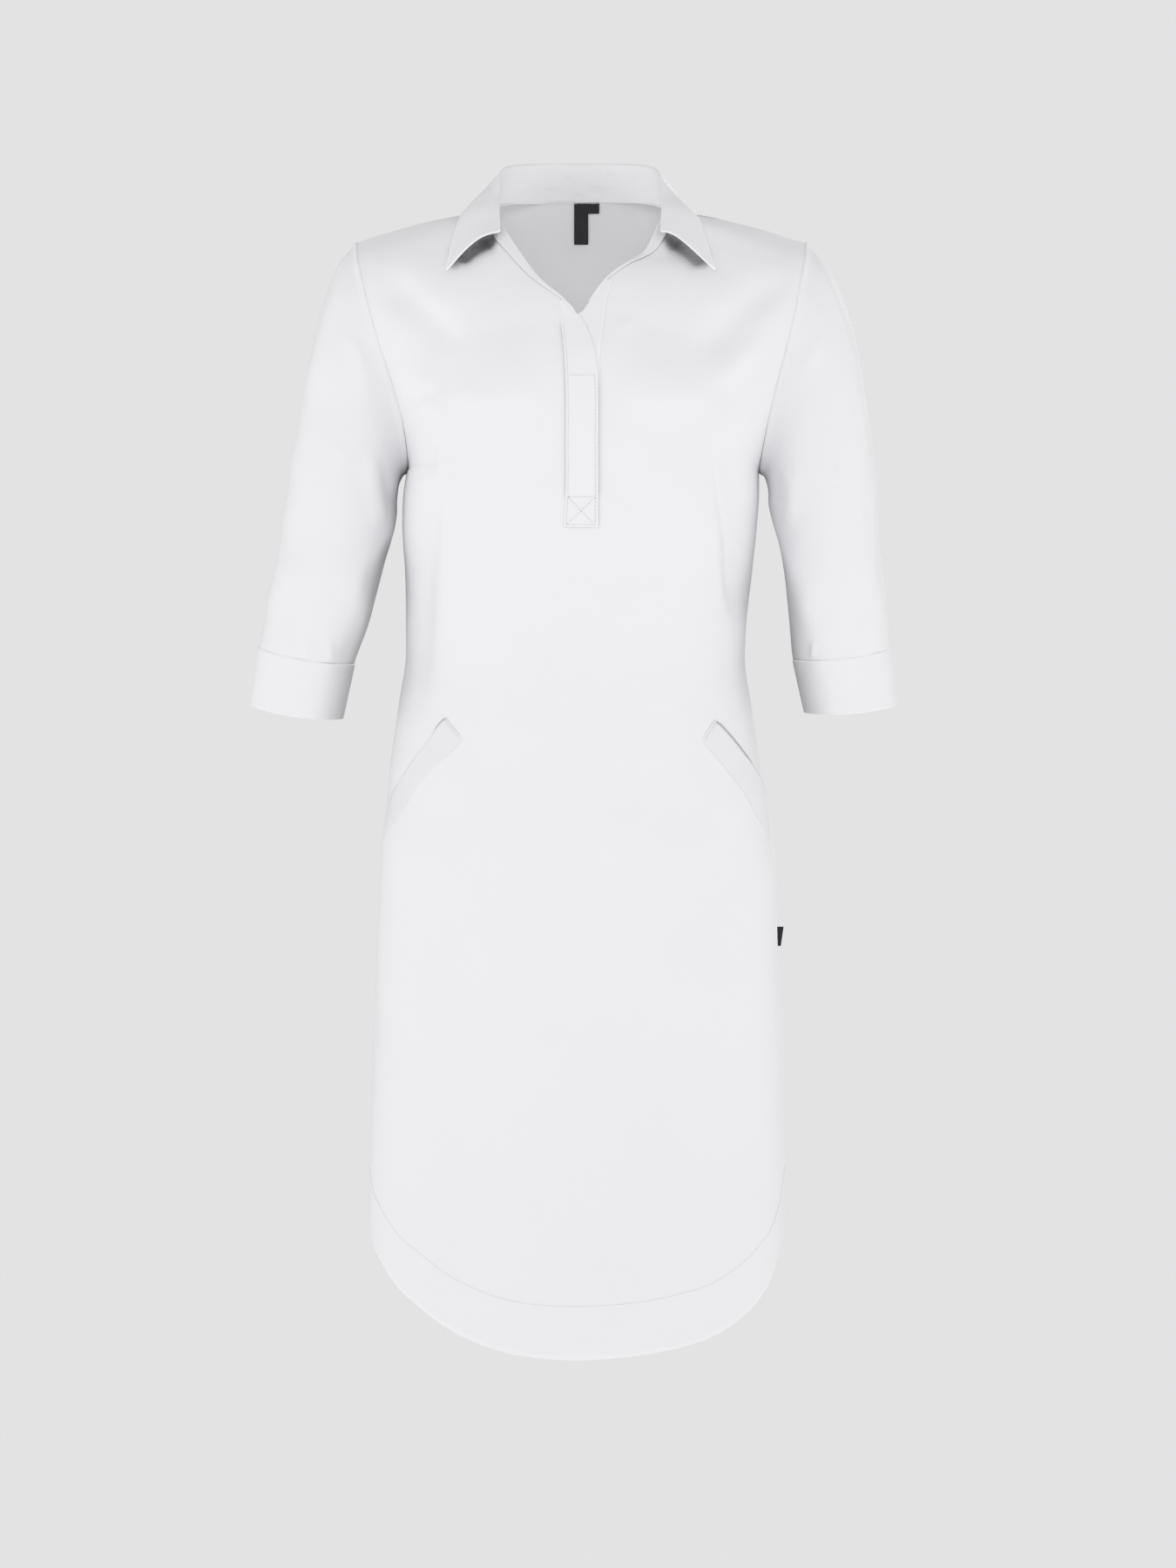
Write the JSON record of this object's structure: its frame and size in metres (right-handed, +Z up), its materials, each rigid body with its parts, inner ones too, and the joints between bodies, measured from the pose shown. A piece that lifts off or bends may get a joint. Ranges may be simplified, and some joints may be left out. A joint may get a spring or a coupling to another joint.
{
  "type": "nurse uniform dress",
  "caption": "Knee-length nurse uniform dress in its hollow worn form, with a turned-down collar, half placket, three-quarter sleeves, slanted pocket welts and a curved hem.",
  "frame": {"origin": "midway between the two high shoulder points, on the shoulder seam plane, where a wearer's shoulders hold the dress up", "axes": "+Z up from the hem to the collar, -Y out of the front, +X towards the wearer's left sleeve"},
  "size_m": [0.5636, 0.2478, 1.0325],
  "materials": {
    "white_twill": "matte smooth twill",
    "black_ribbon": "matte woven ribbon"
  },
  "bodies": {
    "root": {"front": "white_twill", "back": "white_twill", "sleeve_right": "white_twill", "sleeve_left": "white_twill", "cuff_right": "white_twill", "cuff_left": "white_twill", "collar": "white_twill", "placket_top": "white_twill", "placket_under": "white_twill", "facing_right": "white_twill", "facing_left": "white_twill", "pocket_welt_right": "white_twill", "pocket_welt_left": "white_twill", "neck_label": "black_ribbon", "size_tab": "black_ribbon", "side_tab": "black_ribbon"}
  },
  "joints": []
}
